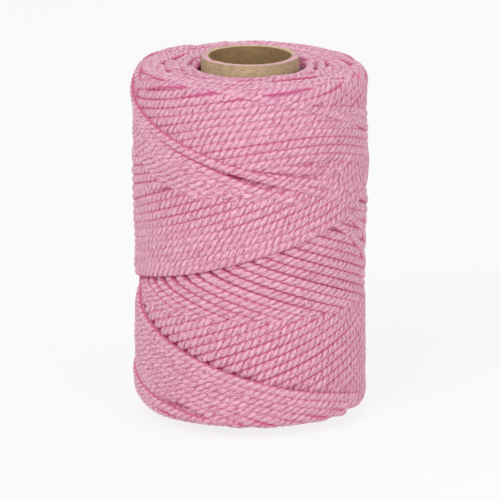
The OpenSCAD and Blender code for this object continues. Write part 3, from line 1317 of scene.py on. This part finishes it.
class SPOOL_OT_stage(bpy.types.Operator):
    """Makes the floor, the soft lamps, the pale surroundings and the camera"""

    bl_idname = "spool.stage"
    bl_label = "Stage and Camera"

    def execute(self, context):
        stage = context.scene.spool_stage
        scene = context.scene
        scene.view_settings.view_transform = "Standard"
        floor_finish, w = new_material("studio_floor")
        plain = w.add("ShaderNodeBsdfDiffuse", {"Color": rgba(stage.floor)})
        glow = w.add("ShaderNodeEmission", {"Color": WHITE, "Strength": 1.0})
        share = w.times(w.direct_rays(), FLOOR_GLOW)
        both = w.add("ShaderNodeMixShader", {0: share, 1: plain, 2: glow})
        w.add("ShaderNodeOutputMaterial", {"Surface": both})
        points = [(0.0, 0.0, FLOOR_LEVEL)]
        for i in range(FLOOR_SIDES):
            a = TURN * i / FLOOR_SIDES
            points.append((FLOOR_RADIUS * math.cos(a), FLOOR_RADIUS * math.sin(a), FLOOR_LEVEL))
        faces = [(0, 1 + i, 1 + (i + 1) % FLOOR_SIDES) for i in range(FLOOR_SIDES)]
        mesh = bpy.data.meshes.new("studio_floor")
        mesh.from_pydata(points, [], faces)
        mesh.materials.append(floor_finish)
        new_piece("studio_floor", mesh)
        world = bpy.data.worlds.new("studio")
        world.use_nodes = True
        world.node_tree.nodes.clear()
        w = Wiring(world.node_tree)
        soft = w.add("ShaderNodeBackground", {"Color": WHITE, "Strength": 0.5})
        white = w.add("ShaderNodeBackground", {"Color": WHITE, "Strength": 1.0})
        both = w.add("ShaderNodeMixShader", {0: w.direct_rays(), 1: soft, 2: white})
        w.add("ShaderNodeOutputWorld", {"Surface": both})
        scene.world = world
        middle = Vector((0.0, 0.0, 0.5 * TUBE_LENGTH))
        for name, place, size, power in LAMPS:
            light = bpy.data.lights.new(name, "AREA")
            light.shape = "DISK"
            light.size = size
            light.energy = power
            lamp = bpy.data.objects.new(name, light)
            lamp.location = place
            lamp.rotation_euler = (middle - Vector(place)).to_track_quat("-Z", "Y").to_euler()
            scene.collection.objects.link(lamp)
        lens = bpy.data.cameras.new("camera")
        lens.sensor_width = 36.0
        lens.lens = stage.lens
        lens.clip_start = 0.05
        lens.clip_end = 50.0
        camera = bpy.data.objects.new("camera", lens)
        back = Vector((0.0, -math.cos(stage.elevation), math.sin(stage.elevation)))
        camera.location = Vector((0.0, 0.0, stage.target_height)) + stage.distance * back
        camera.rotation_euler = (-back).to_track_quat("-Z", "Y").to_euler()
        scene.collection.objects.link(camera)
        scene.camera = camera
        return {"FINISHED"}


class SPOOL_OT_tube(bpy.types.Operator):
    """Gives the tube's papers and boards their kraft finish"""

    bl_idname = "spool.tube"
    bl_label = "Tube Finish"

    def execute(self, context):
        tube = context.scene.spool_tube
        dress_node("liner_ply", paper_finish("kraft_liner", tube.bore))
        dress_node("wrap_ply", paper_finish("kraft_wrap", tube.wrap))
        board = board_finish(tube)
        for name in PLIES:
            dress_node(name, board)
        return {"FINISHED"}


class SPOOL_OT_winding(bpy.types.Operator):
    """Winds the twine stroke by stroke and lays its strands along every stretch that shows"""

    bl_idname = "spool.winding"
    bl_label = "Wound Twine"

    def execute(self, context):
        twine = context.scene.spool_twine
        winding = context.scene.spool_winding
        package = wind(twine, winding)
        wound["package"] = package
        found = stretches(package, winding)
        if not found:
            raise RuntimeError("no stretch of cord shows on the winding")
        chance = np.random.default_rng(winding.seed + 1)
        tones = chance.normal(0.0, 0.5, 1 + max(item[3] for item in found))
        tree = laid_cord_tree()
        finish = twine_finish(twine)
        most = int(MOST_TRIANGLES / (2 * twine.sides))
        batches = [[]]
        points = 0
        for item in found:
            if points + len(item[0]) > most:
                batches.append([])
                points = 0
            batches[-1].append(item)
            points += len(item[0])
        for number, batch in enumerate(batches, 1):
            name = f"twine_lay_{number}"
            piece = new_piece(name, path_mesh(name, batch, tones))
            grown(
                piece,
                tree,
                {
                    "Cord Diameter": twine.diameter,
                    "Lay Length": twine.lay,
                    "Strand Offset": twine.strand_offset,
                    "Flatness": twine.flatness,
                    "Spread": twine.spread,
                    "Sides": twine.sides,
                    "Finish": finish,
                },
            )
            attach(piece, "root")
            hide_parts("outer_winding", "inner_winding")
        return {"FINISHED"}


class SPOOL_OT_core(bpy.types.Operator):
    """Turns the body of buried turns under the cords that show"""

    bl_idname = "spool.core"
    bl_label = "Winding Core"

    def execute(self, context):
        twine = context.scene.spool_twine
        piece = new_piece("wound_core", core_mesh(wound["package"]))
        # painted shade and glow: the core takes the rose of the grooves and glows three times as much
        # as the cords
        piece.data.materials.append(core_finish(twine.painted_groove_shade, 3.0 * twine.glow))
        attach(piece, "root")
        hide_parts("inner_winding")
        return {"FINISHED"}


class SPOOL_PT_panel(bpy.types.Panel):
    """Lists the steps that make the spool"""

    bl_idname = "SPOOL_PT_panel"
    bl_label = "Twine Spool"
    bl_space_type = "VIEW_3D"
    bl_region_type = "UI"
    bl_category = "Twine Spool"

    def draw(self, context):
        layout = self.layout
        for step in STEPS:
            layout.operator(step.bl_idname)
        for name in ("spool_twine", "spool_winding", "spool_tube", "spool_stage"):
            settings = getattr(context.scene, name)
            box = layout.box()
            for key in settings.__annotations__:
                box.prop(settings, key)


SETTINGS = (
    ("spool_twine", TwineSettings),
    ("spool_winding", WindingSettings),
    ("spool_tube", TubeSettings),
    ("spool_stage", StageSettings),
)
STEPS = (SPOOL_OT_stage, SPOOL_OT_tube, SPOOL_OT_winding, SPOOL_OT_core)


def register():
    for name, group in SETTINGS:
        bpy.utils.register_class(group)
        setattr(bpy.types.Scene, name, PointerProperty(type=group))
    for step in STEPS:
        bpy.utils.register_class(step)
    bpy.utils.register_class(SPOOL_PT_panel)


def unregister():
    bpy.utils.unregister_class(SPOOL_PT_panel)
    for step in reversed(STEPS):
        bpy.utils.unregister_class(step)
    for name, group in reversed(SETTINGS):
        delattr(bpy.types.Scene, name)
        bpy.utils.unregister_class(group)


def main():
    """Makes the spool piece by piece."""
    register()
    bpy.ops.spool.stage()
    bpy.ops.spool.tube()
    bpy.ops.spool.winding()
    bpy.ops.spool.core()


if __name__ == "__main__":
    main()
